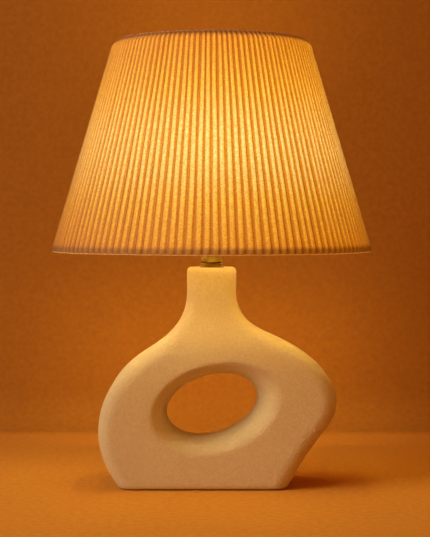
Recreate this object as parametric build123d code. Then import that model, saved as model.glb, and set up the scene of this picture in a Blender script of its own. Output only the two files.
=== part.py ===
"""Table lamp: a pleated conical shade over a hollow ceramic base with an oval through-hole.

Millimetres, +Z up.  The origin is on the axis of the neck and the shade, at the underside of the
felt pad.  The front faces -Y, +X is to the right, and the cord outlet is in the back wall.
"""
from build123d import *
import math
import os

os.makedirs("parts", exist_ok=True)

# ---------------------------------------------------------------- driving dimensions
SHADE_BOTTOM_R = 152.4
SHADE_TOP_R = 93.0
SHADE_BOTTOM_Z = 221.0
SHADE_TOP_Z = 420.0
TOP_ROUND = (8.0, 4.5)      # height over which the cover draws in at the upper edge, and how far
BOTTOM_ROUND = (4.0, 2.0)   # the same at the lower edge

FELT_T = 1.0
FOOT_Z = FELT_T             # underside of the ceramic
FOOT_RUN_OFF_Z = -18.0      # the outline runs on to here before the foot is cut flat
NECK_TOP = 206.0
NECK_FOOT = 180.0           # straight part of the neck ends here
NECK_HALF = 23.2            # half width of the neck
BODY_DEPTH_HALF = 42.0
NECK_DEPTH_HALF = 24.0
EDGE_R = 13.5               # soft outer edges of the slab
HOLE_LEAN = 17.0            # degrees that the oval hole leans up to the right
THROAT = (0.2, 76.3, 44.0, 27.9)    # the hole at mid-depth: centre x and z, long and short half axis
MOUTH = (3.5, 76.5, 60.5, 40.4)     # the same where its flared wall meets the front and back
FLARE_END = 80.0            # degrees of a quarter ellipse that the flare runs through
FLARE_STEPS = 4
FLARE_PAST = 7.0            # the cutter goes this far past the mouth
FOOT_EDGE_R = 3.0
NECK_EDGE_R = 3.5
WALL = 6.0                  # thickness of the casting
FLOOR_T = 8.0
NECK_PLUG_T = 14.0          # solid ceramic at the top of the neck
NECK_BORE_R = 9.0

COVER_R = 30.5              # access opening in the foot
RECESS_R = 31.0
RECESS_T = 2.5
ACCESS_R = 23.5
COVER_T = 1.5
INSERT_PCD_R = 27.3
INSERT_R = 2.6
OUTLET_Z = 17.0             # cord outlet
OUTLET_HOLE_R = 5.5
OUTLET_BORE_R = 3.3
ANCHOR_Y = 15.5             # cord anchor, between the outlet and the terminal block
LEAD_Z = 12.5
LEAD_R = 2.5
CORE_R = 0.95

M10_R = 5.0                 # hollow threaded nipple
HOLDER_Z = 222.0            # bottom of the lampholder
HOLDER_R = 19.0
THREAD_R = 19.5
SHELL_Z = 244.0
HOLDER_TOP = 274.0
FITTER_Z = 249.3
FITTER_T = 1.5
GAP = 0.3                   # between pieces that move past each other
SWITCH_Z = 234.0

E27_R = 13.2                # lamp cap
E27_PITCH = 3.629
TIP_Z = 253.9
GLOBE_R = 30.0
GLOBE_Z = 321.0
LINER_DEPTH = 3.0           # pleats in front of the liner
LINER_T = 0.8


# ---------------------------------------------------------------- helpers
def ring(r_out, r_in, z0, z1, x=0.0, y=0.0):
    """A tube along Z."""
    middle = (z0 + z1) / 2
    tube = Pos(x, y, middle) * Cylinder(r_out, z1 - z0)
    return tube - Pos(x, y, middle) * Cylinder(r_in, z1 - z0 + 2)


def disc(r, z0, z1, x=0.0, y=0.0):
    """A solid cylinder along Z."""
    return Pos(x, y, (z0 + z1) / 2) * Cylinder(r, z1 - z0)


def block(x0, x1, y0, y1, z0, z1):
    """A box from its limits."""
    return Pos((x0 + x1) / 2, (y0 + y1) / 2, (z0 + z1) / 2) * Box(x1 - x0, y1 - y0, z1 - z0)


def turned(*points):
    """A closed (radius, height) outline turned about Z."""
    return revolve(Plane.XZ * make_face(Polyline(*points, close=True)), Axis.Z)


def rod_x(r, x0, x1, y, z):
    """A cylinder along X."""
    return Pos((x0 + x1) / 2, y, z) * Rot(0, 90, 0) * Cylinder(r, x1 - x0)


def rod_y(r, y0, y1, x, z):
    """A cylinder along Y."""
    return Pos(x, (y0 + y1) / 2, z) * Rot(90, 0, 0) * Cylinder(r, y1 - y0)


def rod_between(r, a, b):
    """A cylinder from point a to point b."""
    start = Vector(*a)
    along = Vector(*b) - start
    return extrude(Plane(origin=start, z_dir=along) * Circle(r), along.length)


def tube_along(path, r):
    """A round wire or cable along a path of runs and tangent arcs."""
    section = Plane(origin=path @ 0, z_dir=path % 0) * Circle(r)
    return sweep(section, path=path)


def bend_radius(before, corner, after):
    """The largest tidy bend at a corner: it uses 0.45 of the shorter run."""
    run_in = Vector(*corner) - Vector(*before)
    run_out = Vector(*after) - Vector(*corner)
    turn = math.radians(run_in.get_angle(run_out))
    return 0.45 * min(run_in.length, run_out.length) / math.tan(turn / 2)


def bent_path(points):
    """Straight runs joined by tangent arcs."""
    radii = [bend_radius(*points[i - 1:i + 2]) for i in range(1, len(points) - 1)]
    return FilletPolyline(*points, radius=radii), radii


def pan_screw(x, y, head_z, direction, shank_r, shank_length, head_r, head_t):
    """A pan-head screw along Z.  direction is where its head lies from head_z."""
    slot_depth = head_t * 0.45
    head_end = head_z + direction * head_t
    shank_end = head_z - direction * shank_length
    head = disc(head_r, min(head_z, head_end), max(head_z, head_end), x, y)
    shank = disc(shank_r, min(head_z, shank_end), max(head_z, shank_end), x, y)
    slot = Pos(x, y, head_end) * Box(3 * head_r, 0.25 * head_r, 2 * slot_depth)
    return head + shank - slot


def cone_r(z):
    """Outer radius of the shade at height z, with its sides drawn in a little at both edges."""
    slope = (SHADE_BOTTOM_R - SHADE_TOP_R) / (SHADE_TOP_Z - SHADE_BOTTOM_Z)
    near_top = max(0.0, 1 - (SHADE_TOP_Z - z) / TOP_ROUND[0])
    near_bottom = max(0.0, 1 - (z - SHADE_BOTTOM_Z) / BOTTOM_ROUND[0])
    drawn_in = TOP_ROUND[1] * near_top**2 + BOTTOM_ROUND[1] * near_bottom**2
    return SHADE_BOTTOM_R - (z - SHADE_BOTTOM_Z) * slope - drawn_in


def shade_side(z0, z1, inset):
    """Outline points up the shade's side, close together where it draws in."""
    steps = [i / 5 for i in range(1, 6)]
    levels = [SHADE_BOTTOM_Z + BOTTOM_ROUND[0] * t for t in steps]
    levels += [SHADE_TOP_Z - TOP_ROUND[0] * t for t in reversed(steps)]
    inner_levels = [z for z in levels if z0 + 0.1 < z < z1 - 0.1]
    return [(cone_r(z) - inset, z) for z in [z0] + inner_levels + [z1]]


def cone_shell(z0, z1, inset_out, inset_in):
    """A sheet that follows the shade's side."""
    return turned(*shade_side(z0, z1, inset_out), *reversed(shade_side(z0, z1, inset_in)))


# ---------------------------------------------------------------- ceramic body
def flank(side, points, end, end_direction):
    """One side of the front outline, from the neck's top down to the run-off under the foot."""
    x = side * NECK_HALF
    neck = [(x, NECK_TOP), (x, (NECK_TOP + NECK_FOOT) / 2), (x, NECK_FOOT)]
    return Spline(*neck, *points, end, tangents=[(0, -1), end_direction])


def beside(curve, distance, count):
    """Points at a distance to the left of a curve's direction of travel."""
    points = []
    for i in range(count):
        at = i / (count - 1)
        place = curve @ at
        along = curve % at
        points.append((place.X - along.Y * distance, place.Y + along.X * distance))
    return points


def front_outline(inset):
    """The front view of the body: a low broad left limb and a higher pointed right one."""
    left = flank(
        -1,
        [(-29.2, 157.8), (-47.5, 136.4), (-75.4, 116.8), (-97.5, 89.1), (-105.9, 52.0), (-97.2, 18.1)],
        (-71.6, FOOT_RUN_OFF_Z),
        (0.62, -0.78),
    )
    right = flank(
        1,
        [(32.4, 156.9), (61.4, 138.9), (94.2, 119.3), (115.0, 92.0), (115.2, 72.0), (98.6, 45.8), (78.1, 14.1)],
        (59.5, FOOT_RUN_OFF_Z),
        (-0.5, -0.87),
    )
    if inset:
        left = Spline(*beside(left, inset, 14), tangents=[left % 0, left % 1])
        right = Spline(*beside(right, -inset, 14), tangents=[right % 0, right % 1])
    top = Line(left @ 0, right @ 0)
    bottom = Line(left @ 1, right @ 1)
    return make_face([top, left, bottom, right])


def hole_section(share, outset, y):
    """The hole's oval at depth y.  share is 0 at the throat and 1 at the mouth."""
    x, z, half_long, half_short = (t + (m - t) * share for t, m in zip(THROAT, MOUTH))
    lean = math.radians(HOLE_LEAN)
    plane = Plane(origin=(x, y, z), x_dir=(math.cos(lean), 0, math.sin(lean)), z_dir=(0, -1, 0))
    return plane * Ellipse(half_long + outset, half_short + outset)


def hole_form(inset):
    """Cutter for the through-hole, narrowest at mid-depth, with a flare of elliptical section."""
    end = math.radians(FLARE_END)
    whole = 1 - math.cos(end)
    flare = (MOUTH[3] - THROAT[3]) / whole
    sections = []
    for i in range(-FLARE_STEPS, FLARE_STEPS + 1):
        a = end * i / FLARE_STEPS
        slant = math.hypot(BODY_DEPTH_HALF * math.cos(a), flare * math.sin(a))
        outset = inset * BODY_DEPTH_HALF * math.cos(a) / slant
        y = BODY_DEPTH_HALF * math.sin(a) - inset * flare * math.sin(a) / slant
        sections.append(hole_section((1 - math.cos(a)) / whole, outset, y))
    share_past = 1 + FLARE_PAST * math.tan(end) / (BODY_DEPTH_HALF * whole)
    past = []
    for side, mouth in ((-1, sections[0]), (1, sections[-1])):
        past.append(loft([mouth, hole_section(share_past, outset, side * (y + FLARE_PAST))], ruled=True))
    return loft(sections) + past


def side_profile(inset):
    """The side view: a deep slab that tapers evenly into the slimmer neck."""
    body = BODY_DEPTH_HALF - inset
    neck = NECK_DEPTH_HALF - inset
    bottom = FOOT_RUN_OFF_Z - 5
    top = NECK_TOP + 5
    faces = []
    for side in (1, -1):
        points = [
            (body, bottom), (body, 25), (body, 75), (body, 112),
            (body - 4, 135), (neck + 3, 161), (neck, 185), (neck, top),
        ]
        faces.append(Spline(*[(side * y, z) for y, z in points], tangents=[(0, 1), (0, 1)]))
    lower = Line((body, bottom), (-body, bottom))
    upper = Line((neck, top), (-neck, top))
    return make_face(faces + [lower, upper])


def cast_form(inset):
    """The slab with its hole and soft edges, as the outside or, inset, as the hollow inside."""
    slab = extrude(Plane.XZ * front_outline(inset), 60, both=True)
    form = slab & extrude(Plane.YZ * side_profile(inset), 160, both=True)
    long_edges = [e for e in form.edges() if e.bounding_box().size.Z > 2 and abs(e.center().Y) > 10]
    return fillet(long_edges, EDGE_R - inset) - hole_form(inset)


def ceramic_outside():
    """The outer form, cut flat at the foot, with its small foot and neck roundings."""
    height = NECK_TOP - FOOT_Z
    form = cast_form(0) & block(-200, 200, -100, 100, FOOT_Z, FOOT_Z + height + 1)
    foot = [e for e in form.edges() if e.bounding_box().max.Z < FOOT_Z + 0.01]
    form = fillet(foot, FOOT_EDGE_R)
    top = [e for e in form.edges() if e.bounding_box().min.Z > NECK_TOP - 0.01]
    return fillet(top, NECK_EDGE_R)


def insert_places():
    """Centres of the three cover screws."""
    angles = [math.radians(a) for a in (90, 210, 330)]
    return [(INSERT_PCD_R * math.cos(a), INSERT_PCD_R * math.sin(a)) for a in angles]


def ceramic_body():
    inside_top = NECK_TOP - NECK_PLUG_T
    inside_floor = FOOT_Z + FLOOR_T
    hollow = cast_form(WALL) & block(-200, 200, -100, 100, inside_floor, inside_top)
    cuts = [
        hollow,
        disc(NECK_BORE_R, inside_top - 1, NECK_TOP + 1),
        disc(RECESS_R, FOOT_Z - 1, FOOT_Z + RECESS_T),
        disc(ACCESS_R, FOOT_Z - 1, inside_floor + 1),
        rod_y(OUTLET_HOLE_R, BODY_DEPTH_HALF - WALL - 2, BODY_DEPTH_HALF + 2, 0, OUTLET_Z),
    ]
    cuts += [disc(INSERT_R, FOOT_Z, inside_floor + 1, x, y) for x, y in insert_places()]
    return ceramic_outside() - cuts


# ---------------------------------------------------------------- foot and cord inlet
def felt_pad():
    pad = Pos(-8.5, 0, 0) * extrude(RectangleRounded(144, 70, 26), FELT_T)
    return pad - disc(RECESS_R + 0.6, -1, FELT_T + 1)


def cover_top():
    return FOOT_Z + RECESS_T


def bottom_cover():
    cover = disc(COVER_R, cover_top() - COVER_T, cover_top())
    for x, y in insert_places():
        cover -= disc(1.6, cover_top() - COVER_T - 1, cover_top() + 1, x, y)
    for x in (-8, 8):
        cover -= disc(1.3, 0, 5, x, ANCHOR_Y)
    return cover


def foot_inserts():
    return Compound([ring(INSERT_R, 1.5, cover_top(), FOOT_Z + FLOOR_T, x, y) for x, y in insert_places()])


def cover_screws():
    head_z = cover_top() - COVER_T
    return Compound([pan_screw(x, y, head_z, -1, 1.5, 6.3, 2.8, 1.2) for x, y in insert_places()])


def cord_grommet():
    """Rubber bush that lines the outlet, with a domed outer flange."""
    outer = BODY_DEPTH_HALF
    inner = BODY_DEPTH_HALF - WALL
    bush = rod_y(OUTLET_HOLE_R, inner - 0.2, outer + 0.2, 0, OUTLET_Z)
    bush += rod_y(7.4, inner - 1.6, inner - 0.1, 0, OUTLET_Z)
    flange = rod_y(8.2, outer + 0.1, outer + 2.7, 0, OUTLET_Z)
    dome = fillet(flange.edges().sort_by(Axis.Y)[-1], 1.8)
    return bush + dome - rod_y(OUTLET_BORE_R, inner - 3, outer + 4, 0, OUTLET_Z)


def anchor_half(z0, z1):
    """Half of the two-part block that grips the cord behind the outlet."""
    half = block(-11, 11, ANCHOR_Y - 4.5, ANCHOR_Y + 4.5, z0, z1)
    return half - rod_y(3.4, ANCHOR_Y - 6, ANCHOR_Y + 6, 0, OUTLET_Z)


def cord_anchor_base():
    base = anchor_half(cover_top(), OUTLET_Z)
    for x in (-8, 8):
        base -= disc(1.5, 8, OUTLET_Z + 1, x, ANCHOR_Y)
    return base


def cord_anchor_cap():
    cap = anchor_half(OUTLET_Z, OUTLET_Z + 5.5)
    for x in (-8, 8):
        cap -= disc(1.5, OUTLET_Z - 1, OUTLET_Z + 7, x, ANCHOR_Y)
    return cap


def anchor_screws():
    return Compound([pan_screw(x, ANCHOR_Y, OUTLET_Z + 5.5, 1, 1.5, 14, 2.7, 1.8) for x in (-8, 8)])


# ---------------------------------------------------------------- terminal block and inner wiring
BARREL_X = 4.2
BARREL_Y = (-6.0, 8.0)
BLOCK_SCREW_Y = (-3.2, 5.2)
LEAD_START_Y = -12.0
LEAD_TOP = 232.0


def terminal_block():
    body = fillet(block(-8.5, 8.5, -8, 10, cover_top(), 20).edges().filter_by(Axis.Z), 1.2)
    for x in (-BARREL_X, BARREL_X):
        body -= rod_y(2.4, -9, 11, x, LEAD_Z)
        for y in BLOCK_SCREW_Y:
            body -= disc(1.9, LEAD_Z, 21, x, y)
    return body


def terminal_barrels():
    barrels = []
    for x in (-BARREL_X, BARREL_X):
        barrel = rod_y(2.4, *BARREL_Y, x, LEAD_Z) - rod_y(1.3, BARREL_Y[0] - 1, BARREL_Y[1] + 1, x, LEAD_Z)
        for y in BLOCK_SCREW_Y:
            barrel -= disc(1.5, LEAD_Z, LEAD_Z + 4, x, y)
        barrels.append(barrel)
    return Compound(barrels)


def block_screws():
    screws = []
    for x in (-BARREL_X, BARREL_X):
        for y in BLOCK_SCREW_Y:
            screw = disc(1.5, LEAD_Z + 1.0, LEAD_Z + 5.2, x, y)
            screws.append(screw - Pos(x, y, LEAD_Z + 5.2) * Box(4, 0.5, 1.6))
    return Compound(screws)


def inner_lead():
    """Two-core lead from the terminal block through the right limb and the neck to the lampholder."""
    route = [
        (0, LEAD_START_Y, LEAD_Z), (0, -28, LEAD_Z), (34, -26, 13), (64, -10, 19), (84, 0, 44),
        (89, 0, 80), (68, 0, 113), (33, 0, 131), (6, 0, 152), (0, 0, 182), (0, 0, LEAD_TOP),
    ]
    path, radii = bent_path(route)
    lead = tube_along(path, LEAD_R)
    print("inner lead: length %.0f, radii %s" % (path.length, [round(r) for r in radii]))
    print("inner lead: volume %.0f, section times length %.0f" % (lead.volume, math.pi * LEAD_R**2 * path.length))
    return lead


def lead_cores():
    """The two bared-back cores at each end of the lead."""
    cores = []
    for side in (-1, 1):
        cores.append(rod_between(
            CORE_R,
            (side * BARREL_X, BARREL_Y[0] + 3, LEAD_Z),
            (side * BARREL_X, BARREL_Y[0] - 1, LEAD_Z),
        ))
        cores.append(rod_between(
            CORE_R,
            (side * BARREL_X, BARREL_Y[0] - 1, LEAD_Z),
            (side * 1.2, LEAD_START_Y + 0.8, LEAD_Z),
        ))
        start = (-0.4, side * 1.2, LEAD_TOP + 0.25)
        tail, _ = bent_path([start, (-1.0, side * 2.2, 238), (-6.3, side * 4.6, 242.9)])
        cores.append(tube_along(tail, CORE_R))
    lower_left = cores[0] + cores[1]
    lower_right = cores[3] + cores[4]
    return Compound([lower_left, lower_right, cores[2], cores[5]])


# ---------------------------------------------------------------- neck hardware
RING_TOP = NECK_TOP + 3.8
WASHER_TOP = RING_TOP + 0.8


def neck_bush():
    return ring(NECK_BORE_R, M10_R, NECK_TOP - NECK_PLUG_T, NECK_TOP)


def threaded_nipple():
    """Hollow M10 rod, its thread left plain."""
    bottom = NECK_TOP - NECK_PLUG_T - 4
    return ring(M10_R, 3.5, bottom, HOLDER_Z + 5.5)


def neck_ring():
    return turned(
        (M10_R, NECK_TOP), (11.65, NECK_TOP), (11.65, NECK_TOP + 0.9), (11.2, NECK_TOP + 1.3),
        (10.4, NECK_TOP + 1.7), (10.4, RING_TOP - 0.6), (9.9, RING_TOP), (M10_R, RING_TOP),
    )


def fibre_washer():
    return ring(8.8, M10_R, RING_TOP, WASHER_TOP)


def tapered_collar():
    return turned(
        (M10_R, WASHER_TOP), (9.3, WASHER_TOP), (9.95, WASHER_TOP + 0.35), (10.2, WASHER_TOP + 1.0),
        (9.25, WASHER_TOP + 4.9), (8.3, HOLDER_Z), (M10_R, HOLDER_Z),
    )


def lock_nut():
    nut = extrude(Plane.XY.offset(HOLDER_Z + 2) * RegularPolygon(8.0, 6), 3.0)
    return nut - disc(M10_R, HOLDER_Z, HOLDER_Z + 8)


# ---------------------------------------------------------------- lampholder
def holder_cap():
    """Domed lower half of the lampholder, with the switch's hole in its right side."""
    cap = turned(
        (M10_R, HOLDER_Z), (8.3, HOLDER_Z), (13.5, HOLDER_Z + 1.2), (17.2, HOLDER_Z + 4),
        (HOLDER_R, HOLDER_Z + 8), (HOLDER_R, SHELL_Z), (17.2, SHELL_Z), (17.2, HOLDER_Z + 9),
        (15.6, HOLDER_Z + 5.6), (12.6, HOLDER_Z + 3.2), (9.0, HOLDER_Z + 2), (M10_R, HOLDER_Z + 2),
    )
    return cap - rod_x(4.0, 14, 22, 0, SWITCH_Z)


def holder_shell():
    """Upper half, with the shoulder that carries the shade and the ridged thread above it."""
    shoulder_top = FITTER_Z - GAP
    outline = [(16.5, SHELL_Z), (HOLDER_R, SHELL_Z), (HOLDER_R, 246.0), (23.0, 247.2), (23.0, shoulder_top)]
    outline += [(18.7, shoulder_top), (18.7, shoulder_top + 2.5)]
    z = shoulder_top + 2.5
    while z + 2.5 < HOLDER_TOP - 3:
        outline += [(THREAD_R, z + 0.8), (THREAD_R, z + 1.4), (18.7, z + 2.2), (18.7, z + 2.5)]
        z += 2.5
    outline += [(18.7, HOLDER_TOP - 1), (18.0, HOLDER_TOP), (14.6, HOLDER_TOP), (14.6, HOLDER_TOP - 2)]
    outline += [(16.5, HOLDER_TOP - 2)]
    return turned(*outline)


TERMINAL_PLACES = ((-9.0, -7.0), (-9.0, 7.0))
CORE_TOP = 252.0


def insulator_core():
    core = disc(16.5, SHELL_Z, CORE_TOP)
    for x, y in TERMINAL_PLACES:
        core -= disc(1.5, SHELL_Z - 1, SHELL_Z + 5, x, y)
    return core


def terminal_screws():
    return Compound([pan_screw(x, y, SHELL_Z, -1, 1.5, 5, 2.6, 2.0) for x, y in TERMINAL_PLACES])


def screw_shell():
    """Live ring of the holder: a thin sleeve with a rolled lip."""
    return turned(
        (13.75, CORE_TOP), (14.3, CORE_TOP), (14.3, 269.4), (15.2, 270.2), (15.2, 270.8),
        (14.2, 270.8), (13.75, 270.2),
    )


def centre_contact():
    return block(-8, 8, -3, 3, CORE_TOP, CORE_TOP + 0.8) + block(-3, 3, -3, 3, CORE_TOP + 0.8, TIP_Z - GAP)


def shade_ring():
    """Retaining ring that screws down onto the shade's fitter, with a fluted rim."""
    z0 = FITTER_Z + FITTER_T + GAP
    body = ring(26.0, THREAD_R + GAP, z0, z0 + 6.5)
    body = chamfer(body.edges().filter_by(GeomType.CIRCLE).group_by(SortBy.RADIUS)[-1], 0.8)
    flutes = [Pos(26.6, 0, z0 + 3.25) * Cylinder(1.3, 10)]
    flutes = [Rot(0, 0, 15 * i) * flutes[0] for i in range(24)]
    return body - flutes


def switch_body():
    """Turn-switch mechanism that fills the right side of the cap."""
    return block(5, 15.5, -6, 6, SWITCH_Z - 4, SHELL_Z)


def switch_bush():
    return rod_x(4.0, 15.5, 25, 0, SWITCH_Z) - rod_x(2.05, 15, 26, 0, SWITCH_Z)


def switch_nut():
    nut = Pos(19.4, 0, SWITCH_Z) * Rot(0, 90, 0) * extrude(RegularPolygon(6.0, 6), 2.4)
    return nut - rod_x(4.0, 18, 23, 0, SWITCH_Z)


def switch_shaft():
    return rod_x(2.0, 15.5 + GAP, 38, 0, SWITCH_Z)


def switch_knob():
    """Small ribbed knob with an indicator ridge on its end."""
    knob = rod_x(6.5, 27, 41, 0, SWITCH_Z)
    knob = fillet(knob.edges().sort_by(Axis.X)[-1], 1.5)
    for i in range(12):
        knob -= Pos(0, 0, SWITCH_Z) * Rot(30 * i, 0, 0) * rod_x(0.9, 30, 42, 0, 6.9)
    knob += block(40.5, 41.8, -0.8, 0.8, SWITCH_Z, SWITCH_Z + 4.5)
    return knob - rod_x(2.0, 26, 38, 0, SWITCH_Z)


# ---------------------------------------------------------------- bulb
CAP_TOP = TIP_Z + 23.0
HOUSING_TOP = 303.0


def screw_cap():
    """Edison screw cap with rounded ridges at the thread's pitch."""
    z = TIP_Z + 4.0
    outline = [(12.3, z), (8.5, TIP_Z + 2.2), (8.0, TIP_Z + 2.2), (8.0, TIP_Z + 2.8), (11.9, z + 0.6)]
    outline = outline[::-1]
    for turn in range(5):
        base = z + turn * E27_PITCH
        outline += [(12.3, base), (E27_R - 0.25, base + 0.7), (E27_R, base + 1.5)]
        outline += [(E27_R - 0.25, base + 2.3), (12.3, base + 3.1)]
    outline += [(12.6, CAP_TOP), (11.9, CAP_TOP)]
    clean = [p for i, p in enumerate(outline) if i == 0 or p != outline[i - 1]]
    return turned(*clean)


def cap_insulator():
    return turned((3.0, TIP_Z + 0.8), (4.2, TIP_Z + 0.8), (8.0, TIP_Z + 2.3), (8.0, TIP_Z + 3.4), (3.0, TIP_Z + 3.4))


def tip_contact():
    return turned((0, TIP_Z), (2.2, TIP_Z), (3.0, TIP_Z + 0.8), (3.0, TIP_Z + 3.4), (0, TIP_Z + 3.4))


def bulb_housing():
    """Flared housing between the screw cap and the globe."""
    outer = Spline((14.2, CAP_TOP), (17.6, CAP_TOP + 12), (24.2, HOUSING_TOP), tangents=[(0.1, 1), (0.55, 1)])
    inner = Spline((12.2, CAP_TOP), (15.4, CAP_TOP + 12), (22.0, HOUSING_TOP), tangents=[(0.1, 1), (0.55, 1)])
    face = make_face([outer, inner, Line(outer @ 0, inner @ 0), Line(outer @ 1, inner @ 1)])
    return revolve(Plane.XZ * face, Axis.Z)


def led_board():
    return disc(20.6, HOUSING_TOP - 1.6, HOUSING_TOP - 0.1)


def led_chips():
    chips = []
    for radius, count in ((8.0, 6), (16.0, 12)):
        for i in range(count):
            turn = Rot(0, 0, 360 * i / count)
            chips.append(turn * Pos(radius, 0, HOUSING_TOP + 0.3) * Box(3.0, 3.0, 0.8))
    return Compound(chips)


def bulb_globe():
    """Opal globe, cut off where it meets the housing."""
    wall = 1.2
    globe = Pos(0, 0, GLOBE_Z) * Sphere(GLOBE_R) - Pos(0, 0, GLOBE_Z) * Sphere(GLOBE_R - wall)
    return globe & block(-40, 40, -40, 40, HOUSING_TOP, GLOBE_Z + 40)


# ---------------------------------------------------------------- shade
WIRE_R = 1.6
BOTTOM_WIRE_Z = SHADE_BOTTOM_Z + 2.3
TOP_WIRE_Z = SHADE_TOP_Z - 6.0
HEM_T = 0.5
BOTTOM_HEM_H = 6.5
TOP_HEM_H = 3.0
HEM_FOLD = 7.5              # how far the hems are folded in
FITTER_R = 30.0


def wire_ring(z, clear):
    """Round wire ring just inside the liner."""
    centre = cone_r(z) - LINER_DEPTH - LINER_T - WIRE_R - clear
    return Pos(0, 0, z) * Torus(centre, WIRE_R)


def bottom_wire_ring():
    return wire_ring(BOTTOM_WIRE_Z, 0.25)


def top_wire_ring():
    return wire_ring(TOP_WIRE_Z, 0.45)


def fitter_ring():
    return ring(FITTER_R, THREAD_R + 2 * GAP, FITTER_Z, FITTER_Z + FITTER_T)


def spider_arms():
    """Three wires from the bottom ring up to the fitter, welded on at both ends."""
    outer_r = cone_r(BOTTOM_WIRE_Z) - LINER_DEPTH - LINER_T - WIRE_R
    arm = rod_between(WIRE_R, (FITTER_R - 1.5, 0, FITTER_Z + 0.7), (outer_r - 0.6, 0, BOTTOM_WIRE_Z))
    arm = arm - fitter_ring() - bottom_wire_ring()
    arm = max(arm.solids(), key=lambda s: s.volume)
    return Compound([Rot(0, 0, a) * arm for a in (90, 210, 330)])


def shade_liner():
    return cone_shell(SHADE_BOTTOM_Z + 0.8, SHADE_TOP_Z - 0.8, LINER_DEPTH, LINER_DEPTH + LINER_T)


def shade_fabric():
    """Space of the pleats in front of the liner."""
    return cone_shell(SHADE_BOTTOM_Z + 0.8, SHADE_TOP_Z - 0.8, 0.5, LINER_DEPTH)


def bottom_hem():
    """Band round the lower edge, folded in under the wire ring."""
    z = SHADE_BOTTOM_Z
    inner = cone_r(z) - HEM_FOLD
    outside = shade_side(z + HEM_T, z + BOTTOM_HEM_H, 0)
    inside = shade_side(z + HEM_T + 0.1, z + BOTTOM_HEM_H, HEM_T)
    return turned((inner, z), (cone_r(z) - HEM_T, z), *outside, *reversed(inside), (inner, z + HEM_T + 0.1))


def top_hem():
    """Narrow band round the upper edge, folded in over the wire ring."""
    z = SHADE_TOP_Z
    inner = cone_r(z) - HEM_FOLD
    outside = shade_side(z - TOP_HEM_H, z - HEM_T, 0)
    inside = shade_side(z - TOP_HEM_H, z - HEM_T - 0.1, HEM_T)
    return turned((inner, z), (cone_r(z) - HEM_T, z), *reversed(outside), *inside, (inner, z - HEM_T - 0.1))


# ---------------------------------------------------------------- write one file per node
NODES = [
    ceramic_body, felt_pad, bottom_cover, foot_inserts, cover_screws,
    cord_grommet, cord_anchor_base, cord_anchor_cap, anchor_screws,
    terminal_block, terminal_barrels, block_screws, inner_lead, lead_cores,
    neck_bush, threaded_nipple, neck_ring, fibre_washer, tapered_collar, lock_nut,
    holder_cap, holder_shell, insulator_core, terminal_screws, screw_shell, centre_contact,
    switch_body, switch_bush, switch_nut, switch_shaft, switch_knob,
    shade_ring,
    screw_cap, cap_insulator, tip_contact, bulb_housing, led_board, led_chips, bulb_globe,
    bottom_wire_ring, top_wire_ring, fitter_ring, spider_arms, shade_liner, shade_fabric,
    bottom_hem, top_hem,
]

for make in NODES:
    export_step(make(), os.path.join("parts", make.__name__ + ".step"))
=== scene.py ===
"""Looks of the table lamp: pleated shade, sandy ceramic, metal and plastic, light and camera.

Metres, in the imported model's own frame: +Z up, the lamp's axis at the origin, its front towards -Y.
"""
import math
import random

import bpy
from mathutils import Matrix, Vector


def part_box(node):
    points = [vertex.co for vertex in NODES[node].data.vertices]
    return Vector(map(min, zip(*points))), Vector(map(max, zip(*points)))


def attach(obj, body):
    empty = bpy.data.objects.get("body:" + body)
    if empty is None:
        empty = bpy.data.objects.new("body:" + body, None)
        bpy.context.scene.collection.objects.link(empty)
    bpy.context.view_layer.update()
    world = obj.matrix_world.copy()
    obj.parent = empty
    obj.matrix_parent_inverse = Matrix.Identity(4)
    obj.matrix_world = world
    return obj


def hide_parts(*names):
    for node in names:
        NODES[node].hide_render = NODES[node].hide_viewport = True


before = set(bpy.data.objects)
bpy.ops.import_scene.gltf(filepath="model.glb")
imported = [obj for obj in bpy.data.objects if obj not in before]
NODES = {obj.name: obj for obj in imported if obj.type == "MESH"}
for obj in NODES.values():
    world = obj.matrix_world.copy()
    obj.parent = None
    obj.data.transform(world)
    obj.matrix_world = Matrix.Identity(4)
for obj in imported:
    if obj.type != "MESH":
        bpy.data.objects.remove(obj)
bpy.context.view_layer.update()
scene = bpy.context.scene

# ---------------------------------------------------------------- driving sizes, from the frame
HEM_LOW, HEM_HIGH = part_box("bottom_hem")
TOP_LOW, TOP_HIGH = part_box("top_hem")
GLOBE_LOW, GLOBE_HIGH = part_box("bulb_globe")

SHADE_Z0 = HEM_LOW[2]
SHADE_Z1 = TOP_HIGH[2]
SHADE_R0 = 0.1524            # where the shade's straight sides would meet its lower and upper plane
SHADE_R1 = 0.0930
TOP_ROUND = (0.008, 0.0045)  # height over which the cover draws in at the upper edge, and how far
BOTTOM_ROUND = (0.004, 0.002)
GLOBE_R = GLOBE_HIGH[0]
GLOBE_Z = GLOBE_HIGH[2] - GLOBE_R

PLEATS = 122
COLUMNS = 10                 # mesh columns in one pleat
RIDGE_INSET = 0.0007         # the ridges lie this far inside the shade's outer cone
PLEAT_DEPTH = (0.0019, 0.0020)
HEM_H = HEM_HIGH[2] - HEM_LOW[2]
TOP_H = TOP_HIGH[2] - TOP_LOW[2]
HEM_FADE = (0.70, 1.25)      # band heights from the edge, over which the folded band turns to open cloth

EDGE_GAP = 0.0004            # from either edge of the shade to the cover's first mesh row
LOW_ROWS = (10, 0.0008)      # mesh rows near the lower edge: how many, and how far apart
HIGH_ROWS = (11, 0.0009)
OPEN_ROWS = 36               # steps between them

PLEAT_SHARPNESS = 0.38       # below 1: broad ridges and narrow folds
DEPTH_UNEVEN = (0.86, 1.1)   # how much the depth differs from pleat to pleat
SHIFT_UNEVEN = 0.07          # how far a ridge lies off its place, in pleats
SWAY_UNEVEN = 0.10           # how far a ridge sways along its length, in pleats

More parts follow.
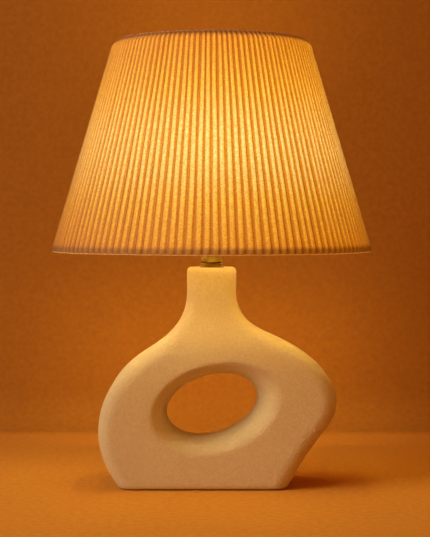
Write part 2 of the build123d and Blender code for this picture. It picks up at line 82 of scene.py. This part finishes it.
ROLL_RIPPLE = 0.0005         # the rolled edges follow the pleats by this much
ROLL_WAVE = 0.00035          # how far they rise and fall
ROLL_LUMPS = 0.18            # how much their thickness differs, as a share


# ---------------------------------------------------------------- small helpers
def link(obj):
    scene.collection.objects.link(obj)
    return obj


def mesh_object(name, points, faces):
    mesh = bpy.data.meshes.new(name)
    mesh.from_pydata(points, [], faces)
    mesh.update()
    mesh.polygons.foreach_set("use_smooth", [True] * len(mesh.polygons))
    return link(bpy.data.objects.new(name, mesh))


def shade_radius(z):
    """Outer radius of the shade at height z, drawn in a little at both edges."""
    part = (z - SHADE_Z0) / (SHADE_Z1 - SHADE_Z0)
    near_top = max(0.0, 1.0 - (SHADE_Z1 - z) / TOP_ROUND[0])
    near_bottom = max(0.0, 1.0 - (z - SHADE_Z0) / BOTTOM_ROUND[0])
    drawn_in = TOP_ROUND[1] * near_top**2 + BOTTOM_ROUND[1] * near_bottom**2
    return SHADE_R0 + (SHADE_R1 - SHADE_R0) * part - drawn_in


def row_heights():
    """Heights of the cover's mesh rows, closer together at both edges."""
    low = [SHADE_Z0 + EDGE_GAP + LOW_ROWS[1] * i for i in range(LOW_ROWS[0])]
    high = [SHADE_Z1 - EDGE_GAP - HIGH_ROWS[1] * i for i in range(HIGH_ROWS[0])][::-1]
    gap = high[0] - low[-1]
    return low + [low[-1] + gap * i / OPEN_ROWS for i in range(1, OPEN_ROWS)] + high


def wave_set(rng, count, low, high):
    """Random sine waves, each (cycles, phase, strength)."""
    turn = 2 * math.pi
    return [(rng.uniform(low, high), rng.uniform(0, turn), rng.uniform(0.4, 1.0)) for _ in range(count)]


def closed(waves):
    """The same waves with whole numbers of cycles, so that they meet round the shade."""
    return [(round(cycles), phase, strength) for cycles, phase, strength in waves]


def wave(waves, t):
    """Sum of the waves at t from 0 to 1, between -1 and 1."""
    total = sum(s for _, _, s in waves)
    return sum(s * math.sin(2 * math.pi * c * t + p) for c, p, s in waves) / total


# ---------------------------------------------------------------- node helpers
class Graph:
    """A material under construction."""

    def __init__(self, name):
        self.material = bpy.data.materials.new(name)
        self.material.use_nodes = True
        self.tree = self.material.node_tree
        self.tree.nodes.clear()
        self.output = self.add("ShaderNodeOutputMaterial")

    def add(self, kind, **settings):
        node = self.tree.nodes.new(kind)
        for key, value in settings.items():
            setattr(node, key, value)
        return node

    def join(self, source, target):
        self.tree.links.new(source, target)

    def coords(self):
        return self.add("ShaderNodeTexCoord").outputs["Object"]

    def height(self):
        """Z in the object's own space, in metres."""
        split = self.add("ShaderNodeSeparateXYZ")
        self.join(self.coords(), split.inputs[0])
        return split.outputs["Z"]

    def stretched(self, scale):
        mapping = self.add("ShaderNodeMapping")
        mapping.inputs["Scale"].default_value = scale
        self.join(self.coords(), mapping.inputs["Vector"])
        return mapping.outputs["Vector"]

    def noise(self, scale, detail=3.0, roughness=0.5, vector=None, distortion=0.0):
        node = self.add("ShaderNodeTexNoise")
        node.inputs["Scale"].default_value = scale
        node.inputs["Detail"].default_value = detail
        node.inputs["Roughness"].default_value = roughness
        node.inputs["Distortion"].default_value = distortion
        self.join(vector or self.coords(), node.inputs["Vector"])
        return node.outputs["Fac"]

    def ramp(self, source, stops):
        """stops are (position, colour) pairs."""
        node = self.add("ShaderNodeValToRGB")
        elements = node.color_ramp.elements
        while len(elements) < len(stops):
            elements.new(0.5)
        for element, (position, colour) in zip(elements, stops):
            element.position = position
            element.color = (*colour, 1.0)
        self.join(source, node.inputs["Fac"])
        return node.outputs["Color"]

    def mix(self, factor, first, second, blend="MIX"):
        node = self.add("ShaderNodeMix", data_type="RGBA", blend_type=blend)
        for value, socket in ((factor, node.inputs[0]), (first, node.inputs[6]), (second, node.inputs[7])):
            if isinstance(value, bpy.types.NodeSocket):
                self.join(value, socket)
            elif isinstance(value, (int, float)):
                socket.default_value = value
            else:
                socket.default_value = (*value, 1.0)
        return node.outputs[2]

    def math(self, operation, *values):
        node = self.add("ShaderNodeMath", operation=operation)
        for i, value in enumerate(values):
            if isinstance(value, bpy.types.NodeSocket):
                self.join(value, node.inputs[i])
            else:
                node.inputs[i].default_value = value
        return node.outputs[0]

    def spread(self, source, low, high, out_low=0.0, out_high=1.0):
        node = self.add("ShaderNodeMapRange")
        ends = {"From Min": low, "From Max": high, "To Min": out_low, "To Max": out_high}
        for name, value in ends.items():
            node.inputs[name].default_value = value
        self.join(source, node.inputs["Value"])
        return node.outputs["Result"]

    def attribute(self, name):
        return self.add("ShaderNodeAttribute", attribute_name=name).outputs["Fac"]

    def bump(self, height, strength, distance, below=None):
        node = self.add("ShaderNodeBump")
        node.inputs["Strength"].default_value = strength
        node.inputs["Distance"].default_value = distance
        self.join(height, node.inputs["Height"])
        if below is not None:
            self.join(below, node.inputs["Normal"])
        return node.outputs["Normal"]

    def principled(self, colour, roughness, normal=None, metallic=0.0, **sockets):
        node = self.add("ShaderNodeBsdfPrincipled")
        for value, socket in ((colour, "Base Color"), (roughness, "Roughness")):
            if isinstance(value, bpy.types.NodeSocket):
                self.join(value, node.inputs[socket])
            elif isinstance(value, (int, float)):
                node.inputs[socket].default_value = value
            else:
                node.inputs[socket].default_value = (*value, 1.0)
        node.inputs["Metallic"].default_value = metallic
        for name, value in sockets.items():
            node.inputs[name.replace("_", " ")].default_value = value
        if normal is not None:
            self.join(normal, node.inputs["Normal"])
        return node.outputs["BSDF"]

    def added(self, first, second):
        """Both shaders' light together."""
        total = self.add("ShaderNodeAddShader")
        self.join(first, total.inputs[0])
        self.join(second, total.inputs[1])
        return total.outputs[0]

    def emission(self, colour, strength):
        node = self.add("ShaderNodeEmission")
        node.inputs["Color"].default_value = (*colour, 1.0)
        if isinstance(strength, bpy.types.NodeSocket):
            self.join(strength, node.inputs["Strength"])
        else:
            node.inputs["Strength"].default_value = strength
        return node.outputs[0]

    def finish(self, shader):
        self.join(shader, self.output.inputs["Surface"])
        return self.material


def dress(material, *names):
    """Give CAD nodes a material."""
    for name in names:
        obj = NODES[name]
        obj.data.materials.clear()
        obj.data.materials.append(material)


# ---------------------------------------------------------------- ceramic
LIP_ROUND = 0.009            # how far the hand-smoothed lip of the hole and the foot look rounded


def bisque_material():
    """Unglazed sand-coloured stoneware: fine grain, faint clouds of tone, a few tiny pits with painted shade
    in them.
    """
    g = Graph("bisque")
    clouds = g.noise(9.0, 3.0, 0.5)
    grain = g.noise(560.0, 3.0, 0.7)
    fine = g.noise(2300.0, 2.0, 0.5)
    base = g.ramp(clouds, [(0.3, (0.75, 0.65, 0.44)), (0.7, (0.81, 0.71, 0.49))])
    speck = g.spread(grain, 0.40, 0.62, 0.0, 0.34)
    colour = g.mix(speck, base, (0.56, 0.46, 0.28))
    pits = g.add("ShaderNodeTexVoronoi", feature="F1")
    pits.inputs["Scale"].default_value = 16.0
    g.join(g.coords(), pits.inputs["Vector"])
    pit = g.spread(pits.outputs["Distance"], 0.004, 0.012, 0.0, 1.0)
    # painted shade: the pits are painted darker than the clay round them
    colour = g.mix(pit, (0.42, 0.30, 0.18), colour)
    height = g.math("ADD", grain, g.math("MULTIPLY", fine, 0.5))
    height = g.math("ADD", height, g.math("MULTIPLY", pit, 0.5))
    worn = g.add("ShaderNodeBevel", samples=8)
    worn.inputs["Radius"].default_value = LIP_ROUND
    soft = g.bump(g.noise(45.0, 2.0, 0.5), 0.25, 0.0016, worn.outputs["Normal"])
    normal = g.bump(height, 0.9, 0.0009, soft)
    roughness = g.spread(fine, 0.3, 0.7, 0.74, 0.92)
    return g.finish(g.principled(colour, roughness, normal, Specular_IOR_Level=0.3))


# ---------------------------------------------------------------- metals, plastics, rubber, felt
def metal_material(name, light, dark, roughness):
    """Turned or rolled metal: fine rings of tooling, a little tarnish in its hollows."""
    g = Graph(name)
    tarnish = g.noise(160.0, 4.0, 0.6)
    rings = g.noise(60.0, 3.0, 0.6, g.stretched((2.0, 2.0, 90.0)))
    colour = g.mix(g.spread(tarnish, 0.35, 0.7), light, dark)
    rough = g.math("ADD", g.spread(rings, 0.3, 0.7, roughness - 0.06, roughness + 0.08),
                   g.spread(tarnish, 0.4, 0.8, 0.0, 0.12))
    normal = g.bump(rings, 0.2, 0.0001)
    return g.finish(g.principled(colour, rough, normal, metallic=1.0))


def plastic_material(name, light, dark, roughness, relief=0.2, scale=1800.0):
    """Moulded plastic or rubber with a fine spark-eroded grain."""
    g = Graph(name)
    grain = g.noise(scale, 2.0, 0.5)
    clouds = g.noise(40.0, 3.0, 0.5)
    colour = g.mix(g.spread(clouds, 0.35, 0.65), light, dark)
    rough = g.spread(clouds, 0.3, 0.7, roughness - 0.05, roughness + 0.07)
    normal = g.bump(grain, relief, 0.00012)
    return g.finish(g.principled(colour, rough, normal))


def felt_material():
    """Matted dark brown fibres."""
    g = Graph("felt")
    fibres = g.noise(700.0, 5.0, 0.7, distortion=1.5)
    colour = g.ramp(fibres, [(0.3, (0.07, 0.055, 0.045)), (0.7, (0.20, 0.16, 0.13))])
    normal = g.bump(fibres, 0.8, 0.0005)
    return g.finish(g.principled(colour, 0.95, normal, Sheen_Weight=0.3))


# ---------------------------------------------------------------- shade
THROUGH_SHARE = 0.4          # share of the cloth that lets light through
GLOW = 1.43                  # strength of the glow that the cloth, its liner and the bulb give off; on the cloth and liner it is painted glow
INSIDE_GLOW = 0.6
BULB_GLOW = 5.0
BRIGHTEST_Z = GLOBE_Z - 0.003
GLOW_REACH = 0.068           # the cloth's glow falls to half this far above and below its brightest height


def glow_by_height(g):
    """0 far from the bulb to 1 level with it, from the height in the object's own space."""
    away = g.math("SUBTRACT", g.height(), BRIGHTEST_Z)
    share = g.math("DIVIDE", away, GLOW_REACH)
    return g.math("DIVIDE", 1.0, g.math("ADD", 1.0, g.math("MULTIPLY", share, share)))


def cotton_tone(g, crest, hem, slub):
    """Colour of the cloth: palest on the folded bands, darker in its thick threads; painted shade darkens
    the folds.
    """
    # painted shade: the folds between the ridges get a darker tone than the crests
    tone = g.mix(crest, (0.72, 0.63, 0.46), (0.85, 0.76, 0.56))
    tone = g.mix(g.spread(slub, 0.5, 0.75, 0.0, 0.3), tone, (0.62, 0.53, 0.36))
    return g.mix(hem, tone, (0.86, 0.76, 0.60))


def painted_cloth_glow(g, crest, hem, weave):
    """Colour of the painted glow that stands in for the bulb's light through the cloth: yellow on the
    crests, deep orange in the folds.
    """
    lit = glow_by_height(g)
    crest_glow = g.ramp(lit, [
        (0.35, (0.71, 0.35, 0.009)), (0.65, (0.83, 0.61, 0.064)), (1.0, (0.90, 0.90, 0.320))])
    fold_glow = g.ramp(lit, [
        (0.35, (0.50, 0.18, 0.006)), (0.65, (0.60, 0.24, 0.007)), (1.0, (0.73, 0.37, 0.014))])
    thread = g.mix(g.spread(weave, 0.36, 0.64), (0.80, 0.62, 0.40), (1.20, 1.38, 1.65))
    glow = g.mix(1.0, g.mix(crest, fold_glow, crest_glow), thread, "MULTIPLY")
    hem_loss = g.mix(hem, (1.0, 1.0, 1.0), (0.40, 0.32, 0.26))
    return g.mix(1.0, glow, hem_loss, "MULTIPLY")


def scattered_light(g, crest, open_cloth, normal):
    """Light that comes through the cloth in all directions; none through the folded bands."""
    colour = g.mix(crest, (0.10, 0.03, 0.003), (0.22, 0.13, 0.04))
    shader = g.add("ShaderNodeBsdfTranslucent")
    g.join(g.mix(1.0, colour, open_cloth, "MULTIPLY"), shader.inputs["Color"])
    g.join(normal, shader.inputs["Normal"])
    return shader.outputs[0]


def straight_light(g, crest, open_cloth, normal):
    """A little light that roughly keeps its direction, and so is brightest in front of the bulb."""
    colour = g.mix(crest, (0.0010, 0.0005, 0.0001), (0.0038, 0.0030, 0.0015))
    shader = g.add("ShaderNodeBsdfRefraction")
    shader.inputs["Roughness"].default_value = 1.0
    shader.inputs["IOR"].default_value = 1.5
    g.join(g.mix(1.0, colour, open_cloth, "MULTIPLY"), shader.inputs["Color"])
    g.join(normal, shader.inputs["Normal"])
    return shader.outputs[0]


def pleat_material():
    """Woven cotton lit from inside: the crests glow, the denser flanks and folds stay deep orange; the glow
    is painted, over real light through the cloth.
    """
    g = Graph("pleated_cotton")
    crest = g.spread(g.attribute("ridge"), 0.56, 0.86)
    hem = g.attribute("hem")
    open_cloth = g.math("SUBTRACT", 1.0, hem)
    weave = g.noise(600.0, 2.0, 0.6, g.stretched((1.0, 1.0, 1.6)))
    slub = g.noise(240.0, 3.0, 0.6, g.stretched((1.0, 1.0, 0.35)))
    height = g.math("ADD", weave, g.math("MULTIPLY", slub, 0.6))
    normal = g.bump(height, 0.55, 0.00035)
    front = g.principled(cotton_tone(g, crest, hem, slub), 0.9, normal, Sheen_Weight=1.0,
                         Sheen_Roughness=0.5, Sheen_Tint=(0.98, 0.95, 0.78, 1.0), Coat_Weight=1.0,
                         Coat_Roughness=1.0, Coat_IOR=1.015, Coat_Tint=(0.60, 0.45, 0.38, 1.0),
                         Emission_Strength=GLOW / (1.0 - THROUGH_SHARE))
    g.join(painted_cloth_glow(g, crest, hem, weave), front.node.inputs["Emission Color"])
    cloth = g.add("ShaderNodeMixShader")
    cloth.inputs[0].default_value = THROUGH_SHARE
    g.join(front, cloth.inputs[1])
    g.join(scattered_light(g, crest, open_cloth, normal), cloth.inputs[2])
    return g.finish(g.added(cloth.outputs[0], straight_light(g, crest, open_cloth, normal)))


def pleat_profile(phase):
    """1 along a broad rounded ridge and 0 in the narrow fold between two ridges."""
    return (0.5 + 0.5 * math.cos(2 * math.pi * phase)) ** PLEAT_SHARPNESS


def hem_share(z):
    """1 on the folded bands at both edges, with a soft change to 0 on the open cloth."""
    low = (z - SHADE_Z0) / HEM_H
    high = (SHADE_Z1 - z) / TOP_H
    fade_start, fade_end = HEM_FADE
    share = (fade_end - min(low, high)) / (fade_end - fade_start)
    return max(0.0, min(1.0, share))


def pleated_fabric():
    """The cover of the shade: rounded pleats from hem to hem, slightly uneven as sewn ones are."""
    rng = random.Random(11)
    wobble = [wave_set(rng, 3, 0.4, 2.2) for _ in range(PLEATS)]
    depth_change = [rng.uniform(*DEPTH_UNEVEN) for _ in range(PLEATS)]
    shift = [rng.uniform(-SHIFT_UNEVEN, SHIFT_UNEVEN) for _ in range(PLEATS)]
    levels = row_heights()
    total = PLEATS * COLUMNS
    points = []
    ridge = []
    hem = []
    for z in levels:
        up = (z - levels[0]) / (levels[-1] - levels[0])
        depth = PLEAT_DEPTH[0] + (PLEAT_DEPTH[1] - PLEAT_DEPTH[0]) * up
        for column in range(total):
            pleat, step = divmod(column, COLUMNS)
            phase = step / COLUMNS
            near = pleat if phase < 0.5 else (pleat + 1) % PLEATS
            height = pleat_profile(phase)
            sway = (SWAY_UNEVEN * wave(wobble[near], up) + shift[near]) * height
            angle = 2 * math.pi * (pleat + phase + sway) / PLEATS
            fold = depth * depth_change[near] * (1.0 - height)
            radius = shade_radius(z) - RIDGE_INSET - fold
            points.append((radius * math.cos(angle), radius * math.sin(angle), z))
            ridge.append(height)
            hem.append(hem_share(z))
    faces = []
    for row in range(len(levels) - 1):
        for column in range(total):
            a = row * total + column
            b = row * total + (column + 1) % total
            faces.append((a, b, b + total, a + total))
    obj = mesh_object("pleated_fabric", points, faces)
    for name, values in (("ridge", ridge), ("hem", hem)):
        layer = obj.data.attributes.new(name, "FLOAT", "POINT")
        layer.data.foreach_set("value", values)
    obj.data.materials.append(pleat_material())
    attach(obj, "shade")
    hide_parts("shade_fabric")
    return obj


def rolled_edge(name, z, radius, thickness, node, seed):
    """The turned-over edge of the cloth: a slightly uneven roll that follows the pleats."""
    rng = random.Random(seed)
    waves = closed(wave_set(rng, 6, 1, 40))
    lumps = closed(wave_set(rng, 5, 20, 90))
    around = PLEATS * 6
    section = 10
    points = []
    for i in range(around):
        turn = i / around
        angle = 2 * math.pi * turn
        centre_r = radius + ROLL_RIPPLE * (pleat_profile(turn * PLEATS) - 0.5)
        centre_z = z + ROLL_WAVE * wave(waves, turn)
        size = thickness * (1.0 + ROLL_LUMPS * wave(lumps, turn))
        for j in range(section):
            around_roll = 2 * math.pi * j / section
            r = centre_r + size * math.cos(around_roll)
            rise = size * math.sin(around_roll)
            points.append((r * math.cos(angle), r * math.sin(angle), centre_z + rise))
    faces = []
    for i in range(around):
        for j in range(section):
            a = i * section + j
            b = i * section + (j + 1) % section
            c = ((i + 1) % around) * section + (j + 1) % section
            d = ((i + 1) % around) * section + j
            faces.append((a, d, c, b))
    obj = mesh_object(name, points, faces)
    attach(obj, "shade")
    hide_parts(node)
    return obj


def hem_material(name, colour, dark, glow):
    """Cloth folded several times over, which lets little light through; that light is a painted glow."""
    g = Graph(name)
    weave = g.noise(900.0, 3.0, 0.6)
    tone = g.mix(g.spread(weave, 0.35, 0.7), dark, colour)
    normal = g.bump(weave, 0.6, 0.0003)
    shader = g.principled(tone, 0.9, normal, Sheen_Weight=0.15)
    return g.finish(g.added(shader, g.emission((1.0, 0.42, 0.06), glow)))


def liner_material():
    """Warm white translucent film behind the pleats, with a painted glow standing in for the bulb's light on
    it.
    """
    g = Graph("liner_film")
    clouds = g.noise(30.0, 3.0, 0.5)
    tone = g.ramp(clouds, [(0.35, (0.93, 0.82, 0.62)), (0.65, (0.97, 0.88, 0.70))])
    normal = g.bump(g.noise(600.0, 2.0, 0.5), 0.15, 0.0002)
    front = g.principled(tone, 0.6, normal)
    back = g.add("ShaderNodeBsdfTranslucent")
    g.join(tone, back.inputs["Color"])
    both = g.add("ShaderNodeMixShader")
    both.inputs[0].default_value = 0.5
    g.join(front, both.inputs[1])
    g.join(back.outputs[0], both.inputs[2])
    return g.finish(g.added(both.outputs[0], g.emission((1.0, 0.55, 0.12), INSIDE_GLOW)))


def globe_material():
    """Opal diffuser, brightest facing up and dimmer towards its housing."""
    g = Graph("opal_globe")
    up = g.spread(g.height(), GLOBE_LOW[2], GLOBE_HIGH[2], 0.75, 1.0)
    shader = g.principled((0.95, 0.90, 0.80), 0.4)
    return g.finish(g.added(shader, g.emission((1.0, 0.62, 0.28), g.math("MULTIPLY", up, BULB_GLOW))))


# ---------------------------------------------------------------- materials on the CAD nodes
def dress_cad_nodes():
    """Materials of everything that is shown as its CAD part."""
    dress(bisque_material(), "ceramic_body")
    dress(felt_material(), "felt_pad")
    brass = metal_material("satin_brass", (0.50, 0.30, 0.10), (0.34, 0.19, 0.06), 0.36)
    # painted reflection: the neck ring's brass is darker and more orange than the hidden brass, for the warm
    # surroundings it reflects
    ring_brass = metal_material("ring_brass_painted_reflection", (0.36, 0.190, 0.030), (0.20, 0.100, 0.016), 0.30)
    # painted shade: the collar under the lampshade is the same brass, painted darker
    collar_brass_shade = metal_material("brass_painted_shade", (0.30, 0.20, 0.050), (0.17, 0.11, 0.028), 0.40)
    zinc = metal_material("zinc_plate", (0.62, 0.61, 0.58), (0.45, 0.44, 0.41), 0.38)
    rolled = metal_material("rolled_aluminium", (0.78, 0.77, 0.75), (0.60, 0.59, 0.57), 0.3)
    dress(ring_brass, "neck_ring")
    dress(brass, "foot_inserts", "terminal_barrels", "screw_shell", "centre_contact",
          "switch_bush", "switch_nut", "switch_shaft")
    dress(collar_brass_shade, "tapered_collar")
    dress(zinc, "bottom_cover", "cover_screws", "anchor_screws", "block_screws", "neck_bush",
          "threaded_nipple", "lock_nut", "terminal_screws")
    dress(rolled, "screw_cap", "tip_contact")
    dress(plastic_material("phenolic", (0.035, 0.030, 0.027), (0.06, 0.05, 0.045), 0.42),
          "holder_cap", "holder_shell", "switch_body", "switch_knob", "shade_ring", "cap_insulator")
    dress(plastic_material("porcelain", (0.86, 0.84, 0.78), (0.80, 0.78, 0.72), 0.22, 0.08),
          "insulator_core")
    dress(plastic_material("nylon", (0.84, 0.82, 0.74), (0.78, 0.76, 0.68), 0.5),
          "cord_anchor_base", "cord_anchor_cap", "terminal_block")
    dress(plastic_material("sheath", (0.80, 0.77, 0.70), (0.72, 0.69, 0.62), 0.55), "inner_lead")
    dress(plastic_material("core_sheath", (0.32, 0.16, 0.08), (0.24, 0.12, 0.06), 0.5), "lead_cores")
    dress(plastic_material("dark_rubber", (0.050, 0.040, 0.034), (0.075, 0.062, 0.052), 0.72, 0.4, 1200.0),
          "cord_grommet", "fibre_washer")
    dress(plastic_material("housing_white", (0.88, 0.86, 0.81), (0.84, 0.82, 0.77), 0.45), "bulb_housing")
    dress(plastic_material("board_white", (0.86, 0.86, 0.84), (0.80, 0.80, 0.78), 0.4), "led_board")
    dress(plastic_material("phosphor", (0.95, 0.72, 0.18), (0.90, 0.62, 0.12), 0.4), "led_chips")
    dress(plastic_material("cream_wire", (0.78, 0.72, 0.62), (0.70, 0.64, 0.54), 0.45, 0.12, 900.0),
          "bottom_wire_ring", "top_wire_ring", "fitter_ring", "spider_arms")
    dress(liner_material(), "shade_liner")
    dress(globe_material(), "bulb_globe")


dress_cad_nodes()
fabric = pleated_fabric()
bottom_roll = rolled_edge("bottom_roll", z=SHADE_Z0 + 0.0006, radius=shade_radius(SHADE_Z0) - 0.0010,
                          thickness=0.0005, node="bottom_hem", seed=3)
top_roll = rolled_edge("top_roll", z=SHADE_Z1 - 0.0007, radius=shade_radius(SHADE_Z1) - 0.0012,
                       thickness=0.0007, node="top_hem", seed=5)
# the lower roll is darker than the upper one and has a painted glow; the upper roll's glow is zero
bottom_roll.data.materials.append(hem_material("bottom_roll", (0.54, 0.34, 0.16), (0.38, 0.22, 0.09), 0.32))
top_roll.data.materials.append(hem_material("top_roll", (0.74, 0.52, 0.36), (0.50, 0.34, 0.22), 0.0))

for see_through in ("shade_liner", "bulb_globe", "led_chips", "led_board"):
    NODES[see_through].visible_shadow = False
NODES["shade_liner"].visible_transmission = False


# ---------------------------------------------------------------- stage, lights, camera
STAGE_HALF_WIDTH = 3.0
FLOOR_FRONT = -2.6
FLOOR_BACK = 0.31
BEND = 0.05                  # radius of the bend between floor and wall
BEND_STEPS = 12
WALL_TOP = 2.6
WALL_Y = FLOOR_BACK + BEND
TONE_CHANGE = 0.003          # height over which the floor's tone gives way to the wall's darker one, which is painted shade
GLOW_STRIP_Y = 0.22          # where the strips that light the wall stand, and their height
GLOW_STRIP_H = 0.03
CAMERA_PLACE = (0.0032, -1.46, 0.259)
CAMERA_AIM = (0.0032, 0.0, 0.2048)
LENS_MM = 103.2
SENSOR_MM = 36.0


def backdrop_material():
    """Matt paper, see-through from its far side; the back of the floor and the wall are painted darker as
    painted shade where less light falls.
    """
    g = Graph("backdrop_paper")
    split = g.add("ShaderNodeSeparateXYZ")
    g.join(g.coords(), split.inputs[0])
    floor = g.ramp(g.noise(3.0, 3.0, 0.5), [(0.3, (0.655, 0.292, 0.030)), (0.7, (0.71, 0.320, 0.036))])
    # painted shade: the floor darkens towards its back, and the wall is darker still
    floor = g.mix(g.spread(split.outputs["Y"], 0.08, FLOOR_BACK), floor, (0.56, 0.225, 0.018))
    tone = g.mix(g.spread(split.outputs["Z"], 0.0, TONE_CHANGE), floor, (0.37, 0.140, 0.006))
    fibres = g.ramp(g.noise(170.0, 4.0, 0.7), [(0.35, (0.90, 0.89, 0.86)), (0.65, (1.06, 1.07, 1.10))])
    tone = g.mix(1.0, tone, fibres, "MULTIPLY")
    one_sided = g.add("ShaderNodeMixShader")
    g.join(g.add("ShaderNodeNewGeometry").outputs["Backfacing"], one_sided.inputs[0])
    g.join(g.principled(tone, 0.9), one_sided.inputs[1])
    g.join(g.add("ShaderNodeBsdfTransparent").outputs[0], one_sided.inputs[2])
    return g.finish(one_sided.outputs[0])


def backdrop():
    """Pale floor that curves up into a wall behind the lamp, both see-through from their far side."""
    profile = [(FLOOR_FRONT, 0.0), (FLOOR_BACK, 0.0)]
    for i in range(1, BEND_STEPS + 1):
        a = math.radians(90 * i / BEND_STEPS)
        profile.append((FLOOR_BACK + BEND * math.sin(a), BEND * (1 - math.cos(a))))
    profile.append((WALL_Y, WALL_TOP))
    points = []
    for y, z in profile:
        points += [(-STAGE_HALF_WIDTH, y, z), (STAGE_HALF_WIDTH, y, z)]
    faces = [(2 * i, 2 * i + 1, 2 * i + 3, 2 * i + 2) for i in range(len(profile) - 1)]
    obj = mesh_object("backdrop", points, faces)
    obj.data.materials.append(backdrop_material())
    return obj


def aimed(place, target):
    """Rotation of a light or camera at a place that faces a target."""
    return (Vector(target) - Vector(place)).to_track_quat("-Z", "Y").to_euler()


def area_light(name, place, target, size, power, colour):
    """A soft square light at a place, aimed at a target."""
    data = bpy.data.lights.new(name, "AREA")
    data.shape = "SQUARE"
    data.size = size
    data.energy = power
    data.color = colour
    obj = link(bpy.data.objects.new(name, data))
    obj.location = place
    obj.rotation_euler = aimed(place, target)
    return obj


def bulb_light():
    """The light that the lit bulb gives."""
    data = bpy.data.lights.new("bulb_light", "POINT")
    data.shadow_soft_size = 0.026
    data.energy = 1.6
    data.color = (1.0, 0.95, 0.28)
    obj = link(bpy.data.objects.new("bulb_light", data))
    obj.location = (0, 0, GLOBE_Z)
    return obj


def wall_glow(name, z, width, power):
    """A strip of the lamp's light on the wall behind it."""
    data = bpy.data.lights.new(name, "AREA")
    data.shape = "RECTANGLE"
    data.size = width
    data.size_y = GLOW_STRIP_H
    data.energy = power
    data.color = (1.0, 0.66, 0.20)
    obj = link(bpy.data.objects.new(name, data))
    obj.location = (0, GLOW_STRIP_Y, z)
    obj.rotation_euler = (math.radians(90), 0, 0)
    obj.visible_camera = False
    return obj


def camera():
    """The camera, straight in front of the lamp and looking slightly down on it."""
    data = bpy.data.cameras.new("camera")
    data.lens = LENS_MM
    data.sensor_width = SENSOR_MM
    obj = link(bpy.data.objects.new("camera", data))
    obj.location = CAMERA_PLACE
    obj.rotation_euler = aimed(CAMERA_PLACE, CAMERA_AIM)
    scene.camera = obj
    return obj


backdrop()
bulb_light()
wall_glow("low_glow", 0.10, 0.34, 0.20)
wall_glow("high_glow", 0.48, 0.22, 0.10)
area_light("key", (-2.0, -0.95, 1.1), (0, 0, 0.18), 1.6, 30.5, (1.0, 0.93, 0.64))
area_light("fill", (1.8, -1.6, 0.9), (0, 0, 0.15), 1.6, 1.0, (1.0, 0.40, 0.10))
camera()

world = bpy.data.worlds.new("world")
world.use_nodes = True
background = world.node_tree.nodes["Background"]
background.inputs["Color"].default_value = (1.0, 0.28, 0.04, 1.0)
background.inputs["Strength"].default_value = 0.33
scene.world = world
scene.view_settings.view_transform = "Standard"
scene.view_settings.look = "None"
